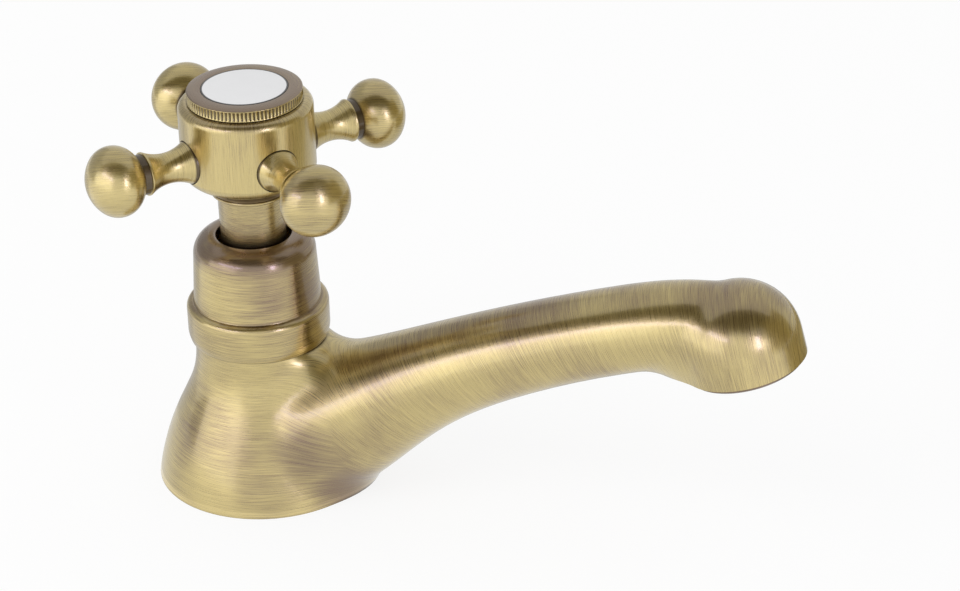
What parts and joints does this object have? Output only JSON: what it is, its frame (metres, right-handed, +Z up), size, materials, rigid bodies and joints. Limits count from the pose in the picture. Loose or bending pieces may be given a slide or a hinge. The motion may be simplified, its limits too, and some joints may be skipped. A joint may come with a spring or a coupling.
{
  "type": "basin pillar tap",
  "caption": "Basin pillar tap with a flared round base, a rising cast spout, a stepped bell cover, a ball-ended cross handle and a white index disc.",
  "frame": {"origin": "centre of the round base, at the mouth of the inlet, on the plane that rests on the basin", "axes": "+Z up along the axis of the valve and the handle, +X the way the spout points, +Y to the left of the spout seen from behind the tap"},
  "size_m": [0.1566, 0.0612, 0.0959],
  "materials": {
    "antique_brass": "brushed, browned and lacquered",
    "plain_brass": "machined",
    "steel": "plain",
    "seal_rubber": "matt",
    "pale_plastic": "matt",
    "ceramic": "lapped ceramic",
    "white_enamel": "glossy"
  },
  "bodies": {
    "tap_body": {"body_casting": "antique_brass", "bell_cover": "antique_brass", "bell_cover_o_ring": "seal_rubber", "base_seal": "seal_rubber", "cartridge_body": "plain_brass", "cartridge_gasket": "seal_rubber", "fixed_ceramic_disc": "ceramic", "seat_washer": "seal_rubber", "aerator_housing": "antique_brass", "aerator_insert": "pale_plastic", "aerator_washer": "seal_rubber"},
    "handle": {"handle_hub": "antique_brass", "cross_arm_front_left": "antique_brass", "cross_arm_rear_left": "antique_brass", "cross_arm_rear_right": "antique_brass", "cross_arm_front_right": "antique_brass", "handle_sleeve": "antique_brass", "handle_screw": "steel", "handle_screw_washer": "steel", "index_ring": "antique_brass", "index_o_ring": "seal_rubber", "index_disc": "white_enamel", "spline_bush": "pale_plastic", "spindle": "plain_brass", "spindle_circlip": "steel", "lower_spindle_o_ring": "seal_rubber", "upper_spindle_o_ring": "seal_rubber", "thrust_washer": "pale_plastic", "rotating_ceramic_disc": "ceramic"}
  },
  "joints": [
    {"name": "handle_turn", "type": "hinge", "parent": "tap_body", "child": "handle", "pos_m": [0, 0, 0.05], "axis": [0, 0, 1], "range_deg": [0, 90]}
  ]
}
